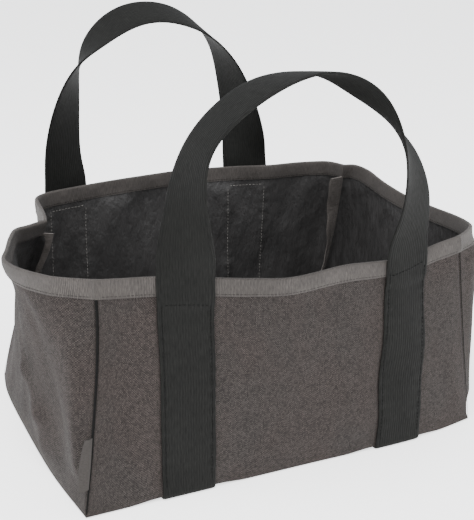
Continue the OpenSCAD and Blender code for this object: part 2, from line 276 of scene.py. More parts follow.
# ---------- meshes ----------


def make(name, verts, faces, uv, mats, face_mats=None, sharp=60):
    """A smooth mesh in metres, with its cloth coordinates and edges sharper than an angle kept sharp."""
    me = bpy.data.meshes.new(name)
    me.from_pydata((np.asarray(verts) * MM).tolist(), [], [list(map(int, f)) for f in faces])
    layer = me.uv_layers.new(name="cloth")
    loops = np.zeros(len(me.loops), int)
    me.loops.foreach_get("vertex_index", loops)
    layer.data.foreach_set("uv", (np.asarray(uv, float)[loops] * MM).astype(np.float32).ravel())
    for m in mats:
        me.materials.append(m)
    if face_mats is not None:
        me.polygons.foreach_set("material_index", np.asarray(face_mats, np.int32))
    me.polygons.foreach_set("use_smooth", np.ones(len(me.polygons), bool))
    me.update()
    me.set_sharp_from_angle(angle=math.radians(sharp))
    ob = bpy.data.objects.new(name, me)
    bpy.context.scene.collection.objects.link(ob)
    return ob


def make_outward(ob):
    """Turns all faces of a closed mesh outwards."""
    bm = bmesh.new()
    bm.from_mesh(ob.data)
    bmesh.ops.recalc_face_normals(bm, faces=bm.faces)
    bm.to_mesh(ob.data)
    bm.free()


def on_bag(ob, nodes):
    """A piece that rides on the bag and stands for CAD nodes, if it has any."""
    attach(ob, "bag")
    if nodes:
        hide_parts(*nodes)
    return ob


def grid(u, v):
    """Cloth coordinates, or any pairs, of a grid of points."""
    return np.stack(np.meshgrid(u, v, indexing="ij"), axis=-1)


def quads(idx):
    """Faces of a grid of vertex numbers."""
    return np.stack([idx[:-1, :-1], idx[1:, :-1], idx[1:, 1:], idx[:-1, 1:]], axis=-1).reshape(-1, 4)


def strip(a, b):
    """Faces between two lines of vertex numbers."""
    return np.stack([a[:-1], a[1:], b[1:], b[:-1]], axis=-1)


def slab(outer, inner, uv):
    """Vertices, faces, material numbers and cloth coordinates of a closed slab between two grids."""
    nu, nv = outer.shape[:2]
    o = np.arange(nu * nv).reshape(nu, nv)
    i = o + nu * nv
    q_out, q_in = quads(o), quads(i)[:, ::-1]
    edges = [strip(i[:, 0], o[:, 0]), strip(o[:, -1], i[:, -1]), strip(o[0], i[0]), strip(i[-1], o[-1])]
    verts = np.concatenate([outer.reshape(-1, 3), inner.reshape(-1, 3)])
    faces = np.concatenate([q_out, q_in] + edges)
    mats = np.zeros(len(faces), int)
    mats[len(q_out):len(q_out) + len(q_in)] = 1
    return verts, faces, mats, np.concatenate([uv.reshape(-1, 2)] * 2)


def tube(rings, uv):
    """Vertices, faces and cloth coordinates of a closed tube through rings of points."""
    n, m = rings.shape[:2]
    idx = np.arange(n * m).reshape(n, m)
    faces = quads(np.concatenate([idx, idx[:, :1]], axis=1)).tolist()
    faces.append(idx[0].tolist())
    faces.append(idx[-1][::-1].tolist())
    return rings.reshape(-1, 3), faces, uv.reshape(-1, 2)


# ---------- materials ----------

class Paint:
    """A node material, built from short calls."""

    def __init__(self, name, rough=0.8, sheen=0.0, specular=0.5):
        self.mat = bpy.data.materials.new(name)
        self.mat.use_nodes = True
        self.tree = self.mat.node_tree
        self.shader = self.tree.nodes["Principled BSDF"]
        self.shader.inputs["Roughness"].default_value = rough
        self.shader.inputs["Sheen Weight"].default_value = sheen
        self.shader.inputs["Sheen Roughness"].default_value = 0.5
        self.shader.inputs["Specular IOR Level"].default_value = specular
        uvm = self.tree.nodes.new("ShaderNodeUVMap")
        uvm.uv_map = "cloth"
        self.uv = self.scaled(uvm.outputs[0], (1000, 1000, 1000))
        parts = self.tree.nodes.new("ShaderNodeSeparateXYZ")
        self.tree.links.new(self.uv, parts.inputs[0])
        self.u, self.v = parts.outputs[0], parts.outputs[1]
        obj = self.tree.nodes.new("ShaderNodeTexCoord")
        self.place = self.scaled(obj.outputs["Object"], (1000, 1000, 1000))

    def put(self, socket, value):
        if isinstance(value, bpy.types.NodeSocket):
            self.tree.links.new(value, socket)
        else:
            socket.default_value = value

    def scaled(self, vector, by):
        n = self.tree.nodes.new("ShaderNodeVectorMath")
        n.operation = "MULTIPLY"
        self.put(n.inputs[0], vector)
        n.inputs[1].default_value = by
        return n.outputs[0]

    def math(self, op, a, b=0.0, c=0.0):
        n = self.tree.nodes.new("ShaderNodeMath")
        n.operation = op
        for socket, value in zip(n.inputs, (a, b, c)):
            self.put(socket, value)
        return n.outputs[0]

    def vector(self, x, y, z=0.0):
        n = self.tree.nodes.new("ShaderNodeCombineXYZ")
        for socket, value in zip(n.inputs, (x, y, z)):
            self.put(socket, value)
        return n.outputs[0]

    def noise(self, vector, scale, detail=3.0, rough=0.55):
        n = self.tree.nodes.new("ShaderNodeTexNoise")
        self.put(n.inputs["Vector"], vector)
        n.inputs["Scale"].default_value = scale
        n.inputs["Detail"].default_value = detail
        n.inputs["Roughness"].default_value = rough
        return n.outputs[0]

    def sine(self, value, pitch, phase=0.0):
        """A wave from 0 to 1 with that pitch in millimetres."""
        turned = self.math("MULTIPLY_ADD", value, 2 * math.pi / pitch, phase)
        return self.math("MULTIPLY_ADD", self.math("SINE", turned), 0.5, 0.5)

    def remap(self, value, low, high, to_low=0.0, to_high=1.0):
        n = self.tree.nodes.new("ShaderNodeMapRange")
        n.interpolation_type = "SMOOTHSTEP"
        for socket, number in zip(n.inputs, (value, low, high, to_low, to_high)):
            self.put(socket, number)
        return n.outputs[0]

    def mix(self, share, a, b, blend="MIX"):
        n = self.tree.nodes.new("ShaderNodeMix")
        n.data_type, n.blend_type = "RGBA", blend
        self.put(n.inputs["Factor"], share)
        self.put(n.inputs["A"], (*a, 1) if isinstance(a, tuple) else a)
        self.put(n.inputs["B"], (*b, 1) if isinstance(b, tuple) else b)
        return n.outputs["Result"]

    def shade(self, colour, amount):
        """A colour times a grey value."""
        return self.mix(1.0, colour, self.vector(amount, amount, amount), "MULTIPLY")

    def yarn(self, size_u, size_v):
        """Noise in spots of that size in millimetres."""
        spots = self.vector(self.math("DIVIDE", self.u, size_u), self.math("DIVIDE", self.v, size_v))
        return self.noise(spots, 1.0, 3.0, 0.6)

    def finish(self, colour, rough, bumps):
        """The material; each bump is a height, its strength and its depth in millimetres."""
        self.put(self.shader.inputs["Base Color"], colour)
        self.put(self.shader.inputs["Roughness"], rough)
        normal = None
        for height, strength, depth in bumps:
            n = self.tree.nodes.new("ShaderNodeBump")
            n.inputs["Strength"].default_value = strength
            n.inputs["Distance"].default_value = depth * MM
            self.put(n.inputs["Height"], height)
            if normal is not None:
                self.put(n.inputs["Normal"], normal)
            normal = n.outputs[0]
        self.put(self.shader.inputs["Normal"], normal)
        return self.mat


WEAVE = 1.05  # pitch of the cloth's threads


def on_top(p, top, warp, weft):
    """The value of the thread that lies on top."""
    below = p.math("SUBTRACT", 1.0, top)
    return p.math("ADD", p.math("MULTIPLY", warp, top), p.math("MULTIPLY", weft, below))


def weave(p):
    """Which thread lies on top, from 0 to 1, and the height of a plain weave."""
    a = p.math("SINE", p.math("MULTIPLY", p.u, math.pi / WEAVE))
    b = p.math("SINE", p.math("MULTIPLY", p.v, math.pi / WEAVE))
    top = p.remap(p.math("MULTIPLY", a, b), -0.12, 0.12)
    return top, on_top(p, top, p.math("ABSOLUTE", a), p.math("ABSOLUTE", b))


def heather_paint():
    p = Paint("heather_cloth", 0.92, 0.02, 0.16)
    top, height = weave(p)
    # Melange yarn: each thread changes tone along its length
    apart, length, layer = 3.7, 4.2, 9.0
    column = p.math("MULTIPLY", p.math("FLOOR", p.math("DIVIDE", p.u, WEAVE)), apart)
    row = p.math("MULTIPLY", p.math("FLOOR", p.math("DIVIDE", p.v, WEAVE)), apart)
    warp = p.noise(p.vector(column, p.math("DIVIDE", p.v, length)), 1.0, 3.0, 0.7)
    weft = p.noise(p.vector(p.math("DIVIDE", p.u, length), row, layer), 1.0, 3.0, 0.7)
    yarn = on_top(p, top, warp, weft)
    colour = p.mix(p.remap(yarn, 0.3, 0.7), (0.0135, 0.0112, 0.0102), (0.0445, 0.037, 0.0337))
    mauve = p.remap(p.noise(p.scaled(p.place, (1, 1, 0.6)), 0.022, 2.0), 0.36, 0.64)
    colour = p.mix(1.0, colour, p.mix(mauve, (0.985, 1.0, 1.005), (1.03, 0.995, 0.99)), "MULTIPLY")
    colour = p.shade(colour, p.remap(p.noise(p.place, 0.06, 4.0, 0.6), 0.3, 0.7, 0.95, 1.05))
    colour = p.shade(colour, p.math("MULTIPLY_ADD", top, 0.62, 0.69))
    # Painted shade: darker where the weave sinks between the threads
    colour = p.shade(colour, p.remap(height, 0.0, 0.55, 0.7, 1.0))
    soft = p.noise(p.place, 0.11, 3.0)
    return p.finish(colour, p.remap(yarn, 0.3, 0.7, 0.92, 0.78),
                    [(soft, 0.35, 1.2), (height, 0.55, 0.35), (yarn, 0.3, 0.25)])


def coat_paint(name="charcoal_coat", tone=(0.0235, 0.0225, 0.0222), rough=0.45):
    p = Paint(name, rough, 0.0, 0.42)
    _, height = weave(p)
    blotch = p.remap(p.noise(p.place, 0.03, 3.0), 0.3, 0.7)
    colour = p.mix(blotch, tone, tuple(c * 1.55 for c in tone))
    crease = p.noise(p.scaled(p.place, (1.0, 1.0, 0.45)), 0.07, 5.0, 0.6)
    fine = p.noise(p.place, 0.35, 3.0, 0.6)
    return p.finish(colour, p.remap(fine, 0.3, 0.7, rough - 0.08, rough + 0.1),
                    [(crease, 0.8, 5.0), (fine, 0.25, 0.5), (height, 0.18, 0.2)])


def tape_paint(name="ribbed_tape", tone=1.0):
    p = Paint(name, 0.85, 0.06, 0.22)
    rib = p.sine(p.u, 1.35)
    dark = tuple(tone * c for c in (0.04, 0.0352, 0.0323))
    light = tuple(tone * c for c in (0.07, 0.0622, 0.0573))
    colour = p.mix(p.remap(p.yarn(0.7, 5.0), 0.3, 0.7), dark, light)
    # Painted shade and light: darker in the valleys between the ribs, a little lighter on their crests
    colour = p.shade(colour, p.remap(rib, 0.0, 0.7, 0.62, 1.1))
    colour = p.shade(colour, p.remap(p.noise(p.place, 0.05, 3.0), 0.3, 0.7, 0.88, 1.12))
    fleck = p.noise(p.uv, 0.9, 3.0, 0.65)
    return p.finish(colour, p.remap(fleck, 0.3, 0.7, 0.74, 0.9), [(rib, 0.7, 0.35), (fleck, 0.25, 0.25)])


def webbing_paint():
    p = Paint("ribbed_webbing", 0.8, 0.0, 0.16)
    rib = p.sine(p.v, 2.45, 1.2)
    twill = p.sine(p.math("MULTIPLY_ADD", p.v, 0.8, p.u), 1.3)
    yarn = p.yarn(7.0, 0.8)
    colour = p.mix(p.remap(yarn, 0.3, 0.7), (0.0032, 0.0033, 0.0028), (0.0056, 0.0057, 0.0048))
    # Painted shade and light: darker in the valleys between the ribs, a little lighter on their crests
    colour = p.shade(colour, p.remap(rib, 0.0, 0.6, 0.72, 1.1))
    # Painted shade: a darker line in the groove just inside each selvedge
    inset = p.math("ABSOLUTE", p.math("SUBTRACT", p.math("ABSOLUTE", p.v), ROW_GAP / 2 + 0.4))
    colour = p.shade(colour, p.remap(inset, 0.2, 1.2, 0.72, 1.0))
    colour = p.shade(colour, p.remap(p.noise(p.place, 0.045, 3.0), 0.3, 0.7, 0.9, 1.12))
    return p.finish(colour, p.remap(yarn, 0.3, 0.7, 0.84, 0.68),
                    [(rib, 0.4, 0.35), (twill, 0.3, 0.16), (p.remap(inset, 0.0, 1.2), 0.5, 0.4)])


def thread_paint(name, dark, light):
    p = Paint(name, 0.75, 0.0, 0.12)
    twist = p.sine(p.math("ADD", p.u, p.v), 0.5)
    colour = p.mix(p.remap(p.noise(p.place, 0.4, 2.0), 0.3, 0.7), dark, light)
    return p.finish(colour, p.remap(twist, 0.0, 1.0, 0.7, 0.85), [(twist, 0.4, 0.1)])


def label_paint():
    p = Paint("woven_label", 0.8, 0.0, 0.15)
    rib = p.sine(p.v, 0.55)
    yarn = p.yarn(0.5, 3.0)
    colour = p.mix(p.remap(yarn, 0.3, 0.7), (0.03, 0.027, 0.025), (0.048, 0.0435, 0.0405))
    # Darker towards its top and bottom edges
    half = LABEL_H / 2
    from_middle = p.math("ABSOLUTE", p.math("SUBTRACT", p.v, half))
    colour = p.shade(colour, p.remap(from_middle, half - 4, half - 1, 1.0, 0.72))
    return p.finish(colour, p.remap(yarn, 0.3, 0.7, 0.75, 0.88), [(rib, 0.5, 0.15), (yarn, 0.3, 0.2)])


def board_paint():
    p = Paint("base_board_plastic", 0.6, 0.0, 0.4)
    grain = p.noise(p.place, 0.9, 4.0, 0.6)
    broad = p.noise(p.place, 0.03, 2.0)
    colour = p.mix(p.remap(broad, 0.3, 0.7), (0.05, 0.05, 0.05), (0.075, 0.074, 0.072))
    return p.finish(colour, p.remap(grain, 0.3, 0.7, 0.5, 0.7), [(grain, 0.3, 0.3)])


heather, coat, tape, webbing = heather_paint(), coat_paint(), tape_paint(), webbing_paint()
# The seam tape is the rim tape at twice its brightness: painted light on the fins, which stand in the shade
# inside the bag
seam_tape = tape_paint("seam_tape", 2.0)
cover_coat = coat_paint("cover_coat", (0.024, 0.0235, 0.023), 0.5)
dark_thread = thread_paint("dark_thread", (0.002, 0.002, 0.0018), (0.004, 0.004, 0.0036))
grey_thread = thread_paint("grey_thread", (0.11, 0.103, 0.096), (0.2, 0.19, 0.178))
label_mat, board_mat = label_paint(), board_paint()


# ---------- cloth walls ----------


def spaced(length, pitch):
    """Shares along a side, closer together at its ends."""
    corner = 7.2
    ends = np.array([0, 0.7, 1.5, 2.5, 3.7, 5.2]) / length
    middle = np.linspace(corner / length, 1 - corner / length, int((length - 2 * corner) / pitch))
    return np.concatenate([ends, middle, 1 - ends[::-1]])


def cloth_u(side, s):
    """Length along a side, so that no two sides have the same stretch of weave."""
    return s * SIDE_L[side] + 500 * side


def wall(side):
    """Cloth of one wall, coated inside; its foot rolls under the base."""
    s = spaced(SIDE_L[side], 2.6)
    t = np.concatenate([np.linspace(0, 0.03, 4), np.linspace(0.045, 1, 66)])
    S, T = np.meshgrid(s, t, indexing="ij")
    out = off_dir(side, S, T)
    face = surf(side, S, T)
    inner = face - out * CLOTH_T
    turn = np.linspace(0, math.pi / 2, 4)[1:][::-1]
    level, up = out[:, :1] * np.array([1, 1, 0]), np.array([0, 0, CLOTH_T])
    rolled = [face[:, :1] - level * CLOTH_T * (1 - math.cos(a)) - up * math.sin(a) for a in turn]
    under = [inner[:, :1] - level * 0.25 * k for k in (3, 2, 1)]
    z = np.concatenate([-CLOTH_T * turn, t * WALL_H])
    outer, inner = np.concatenate(rolled + [face], axis=1), np.concatenate(under + [inner], axis=1)
    verts, faces, mats, uv = slab(outer, inner, grid(cloth_u(side, s), z))
    kind = "" if side in (FRONT, BACK) else "_end"
    ob = make(SIDES[side] + kind + "_wall", verts, faces, uv, [heather, coat], mats, 70)
    return on_bag(ob, [SIDES[side] + kind + "_panel"])


def rim_tape(side):
    """Ribbed tape folded over the rim, with rounded turns."""
    s = spaced(SIDE_L[side], 2.4)
    S, T = np.meshgrid(s, np.linspace(TAPE_LOW, 1, 8), indexing="ij")
    along = 2 * math.pi * S * SIDE_L[side]
    wavy = 0.18 * np.sin(along / 9.5) + 0.12 * np.sin(along / 23)
    loose = smooth(1 - T, 0.0, 0.02) * smooth(T, TAPE_LOW, TAPE_LOW + 0.02)
    n = off_dir(side, S, T)
    base = surf(side, S, T)
    base[..., 2] += np.where(T < TAPE_LOW + 1e-6, 0.35 * wavy, 0)
    near = GAP / 2

    def leg(d):
        return base + n * (d + math.copysign(0.35, d) * loose)[..., None]

    def layer(face):
        mid = base[:, -1] - n[:, -1] * CLOTH_T / 2
        r, up = CLOTH_T / 2 + near + face, np.array([0, 0, GAP + face + 0.4])
        cap = [mid + n[:, -1] * r * math.cos(a) + up * math.sin(a) for a in np.linspace(0, math.pi, 9)[1:-1]]
        inner = leg(-CLOTH_T - near - face)
        return np.concatenate([leg(near + face), np.stack(cap, axis=1), inner[:, ::-1]], axis=1)

    rows, rest = layer(TAPE_T), layer(0.0)
    verts, faces, _, uv = slab(rows, rest, grid(cloth_u(side, s), run_of(rows[len(s) // 2])))
    ob = make(SIDES[side] + "_rim_binding", verts, faces, uv, [tape], None, 50)
    return on_bag(ob, [SIDES[side] + "_rim_tape"])


def stitches(points, normals, pitch, length, width, height):
    """A row of single stitches as small closed tubes that dip into the cloth at both ends."""
    run = run_of(points)
    starts = np.arange(pitch / 2, run[-1] - length, pitch)
    steps = np.linspace(0, 1, 5)
    at = starts[:, None] + steps * length
    pos = np.stack([np.interp(at, run, points[:, k]) for k in range(3)], axis=-1)
    nor = unit(np.stack([np.interp(at, run, normals[:, k]) for k in range(3)], axis=-1))
    across = np.cross(unit(np.gradient(pos, axis=1)), nor)
    arch = np.sin(math.pi * steps)
    lift = (height * arch - 0.12)[None, :, None]
    wide = (0.35 + 0.65 * arch)[None, :, None, None] * width / 2
    turn = np.linspace(0, 2 * math.pi, 7)[:-1]
    ring = across[:, :, None] * np.cos(turn)[:, None] + nor[:, :, None] * np.sin(turn)[:, None] * 0.8
    rings = (pos + nor * lift)[:, :, None] + ring * wide
    shape = rings.shape[:3]
    idx = np.arange(math.prod(shape)).reshape(shape)
    wrap = np.concatenate([idx, idx[:, :, :1]], axis=2)
    here, ahead = wrap[:, :-1], wrap[:, 1:]
    body = np.stack([here[..., :-1], ahead[..., :-1], ahead[..., 1:], here[..., 1:]], axis=-1).reshape(-1, 4)
    faces = body[:, ::-1].tolist() + idx[:, 0].tolist() + idx[:, -1][:, ::-1].tolist()
    uv = np.stack([np.broadcast_to(at[:, :, None], shape), np.broadcast_to(turn, shape)], axis=-1)
    return rings.reshape(-1, 3), faces, uv.reshape(-1, 2)


def sew(name, rows, mats, nodes, pitch, length, width, height):
    """One piece of stitching from several rows: (points, normals, material number)."""
    verts, faces, uvs, slots, count = [], [], [], [], 0
    for points, normals, m in rows:
        v, f, uv = stitches(points, normals, pitch, length, width, height)
        verts.append(v)
        uvs.append(uv)
        faces += [[i + count for i in face] for face in f]
        slots += [m] * len(f)
        count += len(v)
    ob = make(name, np.concatenate(verts), faces, np.concatenate(uvs), mats, slots, 80)
    return on_bag(ob, nodes)


def rim_thread(side):
    """A line of stitches along the tape, outside and inside."""
    s = np.linspace(6 / SIDE_L[side], 1 - 6 / SIDE_L[side], 260)
    t = np.full(s.shape, TAPE_LOW + 2.0 / WALL_H)
    n = off_dir(side, s, t)
    face = GAP / 2 + TAPE_T + 0.3
    rows = [(surf(side, s, t) + n * d, unit(n) * math.copysign(1, d), 0) for d in (face, -CLOTH_T - face)]
    paint = thread_paint("rim_thread_" + SIDES[side], (0.02, 0.018, 0.0165), (0.036, 0.0325, 0.03))
    name = SIDES[side] + "_rim_"
    return sew(name + "thread", rows, [paint], [name + "stitching"], 3.4, 2.6, 0.6, 0.2)


walls = [wall(side) for side in range(4)]
bindings = [rim_tape(side) for side in range(4)]
rim_rows = [rim_thread(side) for side in range(4)]


# ---------- corner seams ----------


def seam_binding(side):
    """The bound seam allowance at the corner where a side begins: it stands inwards, with its stitches."""
    count = 60
    t = np.linspace(0.05, TAPE_LOW + 0.01, count)
    way = -unit(MITRE[side][0])
    across = np.array([-way[1], way[0], 0])
    grow = np.linspace(0, 1, 6)
    reach = SEAM_W * (1 + 0.08 * np.sin(t * 21 + side)) * smooth(t, 0.03, 0.1)
    bend = 1.6 * np.sin(t * 9 + side * 1.7)[:, None] * grow ** 2 + 0.5 * np.sin(t * 40)[:, None] * grow
    if side == BACK:
        # This seam is wider and flops against the back wall below the rim
        reach = reach * (1 + 0.3 * smooth(t, 0.5, 0.95))
        bend = bend - (0.75 * smooth(t, 0.25, 0.8) * SEAM_W)[:, None] * grow
    root = CLOTH_T * math.sqrt(2) + 1.2
    corner = plain(side, 0 * t, t)[:, None]
    mid = corner + way * (root + reach[:, None] * grow)[..., None] + across * bend[..., None]
    half = across * (SEAM_T / 2 * np.array([1.25, 1, 1, 0.95, 0.85, 0.4]))[:, None]
    verts, faces, _, uv = slab(mid - half, mid + half, grid(t * WALL_H, grow * SEAM_W))
    name = CORNERS[side] + "_seam_"
    on_bag(make(name + "binding", verts, faces, uv, [seam_tape]), [name + "tape"])
    spot = mid[:, 2] * 0.4 + mid[:, 1] * 0.6
    rows = [(spot + n * 1.25, np.tile(n, (count, 1)), 0) for n in (across, -across)]
    sew(name + "thread", rows, [grey_thread], [], 3.6, 2.7, 0.6, 0.25)


def seam_and_shade_line(side, radius):
    """The dark line of a corner seam as it shows from outside: its stitches and gap, and painted shade in
    the crease.
    """
    t = np.linspace(0.01, TAPE_LOW, 90)
    line = plain(side, 0 * t, t) + unit(MITRE[side][0]) * (0.35 - radius)
    along = unit(np.gradient(line, axis=0))
    across = unit(np.cross(along, MITRE[side][0]))
    out = np.cross(across, along)
    turn = np.linspace(0, 2 * math.pi, 9)[:-1]
    taper = radius * (0.55 + 0.45 * smooth(t, 0.02, 0.3))[:, None, None]
    ring = across[:, None] * np.cos(turn)[:, None] + out[:, None] * np.sin(turn)[:, None]
    verts, faces, uv = tube(line[:, None] + taper * ring, grid(t * WALL_H, turn))
    on_bag(make(CORNERS[side] + "_seam_and_shade_line", verts, faces, uv, [dark_thread]), [])


for side in range(4):
    seam_binding(side)
# The front left line is thicker: it paints the deep shade of the crease at that corner, while the thin lines
# show mostly the seams
for side in range(4):
    seam_and_shade_line(side, 1.1 if side == FRONT else 0.3)


# ---------- webbing ----------


def strap_lift(t):
    """Gap between the cloth and a strap, which climbs over the rim tape."""
    start, climb = WALL_H - TAPE_W - 16, 12
    return 0.3 + smooth(t * WALL_H, start, start + climb) * (TAPE_T + 0.5)


def fold_point(side, x):
    """Middle of the webbing where it leaves the wall."""
    t = np.array([1.0])
    s = share_at(side, np.array([float(x)]), t)
    p = plain(side, s, t) + normal_of(side, s, t) * (FOLD_OUT + WEB_T / 2)
    return p[0] + np.array([0, 0, FOLD_GAP])


def loop_path(points, side, tilt):
    """Middle line of a handle and its turn, evenly spaced."""
    way = -1 if side == FRONT else 1
    a, b = fold_point(side, -PITCH / 2), fold_point(side, PITCH / 2)
    q = catmull(points, np.linspace(0, len(points) - 1, 260))
    low = a + (b - a) * ((q[:, 0] - a[0]) / (b[0] - a[0]))[:, None]
    y = low[:, 1] + way * q[:, 1] * RISE * math.sin(tilt)
    z = low[:, 2] * (1 - q[:, 1]) + (a[2] + b[2]) / 2 * q[:, 1] + q[:, 1] * RISE * math.cos(tilt)
    centre = np.stack([q[:, 0], y, z], axis=1)
    run = run_of(centre)
    at = np.linspace(0, run[-1], int(run[-1] / 1.9))
    line = np.stack([np.interp(at, run, centre[:, k]) for k in range(3)], axis=1)
    return line, np.interp(at, run, q[:, 2])


def blur(values, sigma, keep):
    """Smooths rows along the run; keep is 1 where a row stays put."""
    reach = int(3 * sigma)
    kernel = np.exp(-0.5 * (np.arange(-reach, reach + 1) / sigma) ** 2)
    kernel /= kernel.sum()
    padded = np.concatenate([np.repeat(values[:1], reach, 0), values, np.repeat(values[-1:], reach, 0)])
    soft = sum(k * padded[i:i + len(values)] for i, k in enumerate(kernel))
    shape = (-1,) + (1,) * (values.ndim - 1)
    return soft * (1 - keep.reshape(shape)) + values * keep.reshape(shape)

# Places across the webbing, in half widths, and its thickness there
ACROSS = np.array([-1, -0.97, -0.9, -0.8, -0.6, -0.4, -0.2, 0, 0.2, 0.4, 0.6, 0.8, 0.9, 0.97, 1.0])
THICK = np.array([0.3, 0.75, 0.97, 1, 1, 1, 1, 1, 1, 1, 1, 1, 0.97, 0.75, 0.3])
SOFT_ROWS = 6  # rows on each side of a fold in which a strap bends into the handle


def wall_run(side, x):
    """Rows of the webbing's middle surface from under the base up to the rim."""
    way = 1 if side == FRONT else -1
    t = np.linspace(0, 1, 104)
    W, T = np.meshgrid(ACROSS * WEB_W / 2, t, indexing="xy")
    ripple = (1.1 if (side, x) == (FRONT, PITCH / 2) else 0.35) * np.sin(2 * math.pi * t / 0.46 + x)[:, None]
    S = share_at(side, x + way * W + ripple * smooth(T, 0.02, 0.2) * smooth(1 - T, 0.02, 0.2), T)
    n = unit(off_dir(side, S, T))
    rows = surf(side, S, T) + n * (strap_lift(T) + WEB_T / 2)[..., None]
    # Around the foot and under the base
    foot, out = rows[0], n[0] * np.array([1, 1, 0])
    r = foot[:, 2].mean() - WEB_T / 2
    turn = np.linspace(0, math.pi / 2, 6)[1:]
    under = [foot - out * r * (1 - math.cos(a)) - np.array([0, 0, 1.0]) * r * math.sin(a) for a in turn]
    flat = under[-1] - out * 9.0
    return np.concatenate([np.stack([flat] + under[::-1]), rows])


def handle_rows(points, side, lean):
    """Rows of the middle surface of a handle, turned and slightly cupped."""
    tilt = math.radians(lean)
    line, turn = loop_path(points, side, tilt)
    keep = np.zeros(len(line))
    keep[:2] = keep[-2:] = 1
    line, turn = blur(line, 4, keep), np.radians(blur(turn, 4, keep))
    way = -1 if side == FRONT else 1
    face = np.array([0, way * math.cos(tilt), -math.sin(tilt)])
    along = unit(np.gradient(line, axis=0))
    rim_way = unit(np.cross(face, along)) * -way
    flat = unit(face - along * (along @ face)[:, None])
    out = np.cos(turn)[:, None] * flat + np.sin(turn)[:, None] * rim_way
    width = np.cross(out, along)
    cup = 0.5 * (ACROSS ** 2)
    return line[:, None] + width[:, None] * (ACROSS * WEB_W / 2)[:, None] - out[:, None] * cup[:, None]


def follow(rows, more):
    """Two runs of webbing end to end; the second is mirrored if its edges would cross over."""
    edge = rows[-1, 0]
    if np.linalg.norm(more[0, 0] - edge) > np.linalg.norm(more[0, -1] - edge):
        more = more[:, ::-1]
    return np.concatenate([rows, more])


def web_slab(name, rows, normal, run):
    """A length of webbing around its middle surface."""
    half = (WEB_T / 2 * THICK)[None, :, None] * normal
    verts, faces, _, uv = slab(rows + half, rows - half, grid(run, ACROSS * WEB_W / 2))
    ob = make(name, verts, faces, uv, [webbing])
    make_outward(ob)
    return ob


def wall_webbing(side, points, lean):
    """Strap, handle and strap in one length, which blends from the bag to the handle over the hinge."""
    name = SIDES[side]
    first, last = wall_run(side, -PITCH / 2), wall_run(side, PITCH / 2)
    if side == BACK:
        first = first[:, ::-1]
    loop = handle_rows(points, side, lean)
    rows = follow(follow(first, loop), last[::-1])
    keep = np.ones(len(rows))
    keep[len(first) - SOFT_ROWS:len(first) + len(loop) + SOFT_ROWS] = 0
    rows = blur(rows, 3.0, keep)
    middle = len(ACROSS) // 2
    normal = unit(np.cross(np.gradient(rows, axis=1), np.gradient(rows, axis=0)))
    outward = np.array([0, -1.0 if side == FRONT else 1.0, 0])
    if (normal[len(first) // 2, middle] @ outward) < 0:
        normal = -normal
    ob = web_slab(name + "_webbing", rows, normal, run_of(rows[:, middle]))
    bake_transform(ob)
    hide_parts(name + "_left_strap", name + "_right_strap", name + "_handle")


wall_webbing(FRONT, FRONT_LOOP, FRONT_LEAN)
wall_webbing(BACK, BACK_LOOP, BACK_LEAN)

# Ends of the webbing under the base: at the front, left and right, and at the back
BASE_FRONT, BASE_BACK = (-161, -163), 152
for (x, name), front_y in zip(STRAPS, BASE_FRONT):
    y = np.linspace(front_y, BASE_BACK, 120)
    W, Y = np.meshgrid(ACROSS * WEB_W / 2, y, indexing="xy")
    rows = np.stack([x + W, Y, 0 * W + WEB_T / 2], axis=-1)
    ob = web_slab(name + "_base_webbing", rows, np.array([0, 0, 1.0]), y)
    on_bag(ob, [name + "_base_strap"])


# ---------- stitching on the straps ----------


def strap_rows(side, s, t):
    """One row of stitches through a strap: dark outside and grey inside."""
    n = unit(off_dir(side, s, t))
    base = surf(side, s, t)
    return [(base + n * (strap_lift(t) + WEB_T + 0.02)[:, None], n, 0), (base - n * (CLOTH_T + 0.02), -n, 1)]


def strap_thread(side, x, where):
    """Two rows up a strap and the cross stitch near its top, which slants on the front right strap."""
    top = share_at(side, np.array([x]), np.array([0.9]))
    high = plain(side, top, np.array([1.0]))[0, 2]
    tack = (TACK_Z - WALL_Z) / (high - WALL_Z)
    t = np.linspace(0.03, tack, 120)
    rows = []
    for row in (-1, 1):
        rows += strap_rows(side, share_at(side, x + row * ROW_GAP / 2 + 0 * t, t), t)
    xs = np.linspace(x - ROW_GAP / 2 + 0.5, x + ROW_GAP / 2 - 0.5, 40)
    slant = 0.018 if (side == FRONT and x > 0) else 0.0
    ts = tack + slant * (xs - x) / ROW_GAP * 2
    rows += strap_rows(side, share_at(side, xs, ts), ts)
    name = SIDES[side] + "_" + where + "_strap_"
    sew(name + "thread", rows, [dark_thread, grey_thread], [name + "stitching"], 3.9, 3.0, 0.8, 0.3)


for side in (FRONT, BACK):
    for x, where in STRAPS:
        strap_thread(side, x, where)


# ---------- base ----------


def outline(inset):
    """Edge of the base drawn in by a distance, counter-clockwise."""
    points = []
    for side in range(4):
        s = np.linspace(0, 1, 90)[:-1]
        n = mitred(side, s, unit(normal_of(side, s, 0 * s) * np.array([1, 1, 0])), 2 * CORNER)
        points.append(plain(side, s, 0 * s)[:, :2] - n[:, :2] * inset)
    return np.concatenate(points)


